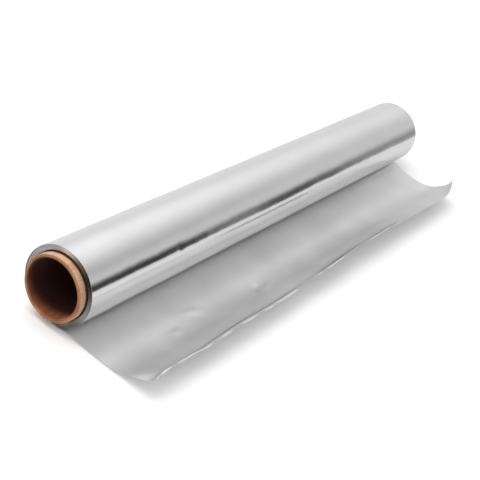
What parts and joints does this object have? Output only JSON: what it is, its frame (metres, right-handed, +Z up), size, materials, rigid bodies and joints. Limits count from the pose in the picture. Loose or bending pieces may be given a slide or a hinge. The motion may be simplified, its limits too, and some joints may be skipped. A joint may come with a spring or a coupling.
{
  "type": "aluminium foil roll",
  "caption": "Roll of household aluminium foil wound on a kraft paper core that stands proud at both ends, with the foil's free end run out on the table and curled up at its cut edge.",
  "frame": {"origin": "on the table, in the middle of the flat spot under the roll's axis, half way along the foil", "axes": "+X along the roll's axis, +Z up from the table, and the free sheet runs out towards -Y"},
  "size_m": [0.3074, 0.0705, 0.0347],
  "materials": {
    "kraft_core": "matt spiral-wound kraft paper board",
    "foil": "rolled foil, bright side out, matt side in"
  },
  "bodies": {
    "root": {"core_tube": "kraft_core", "foil": "foil"}
  },
  "joints": []
}
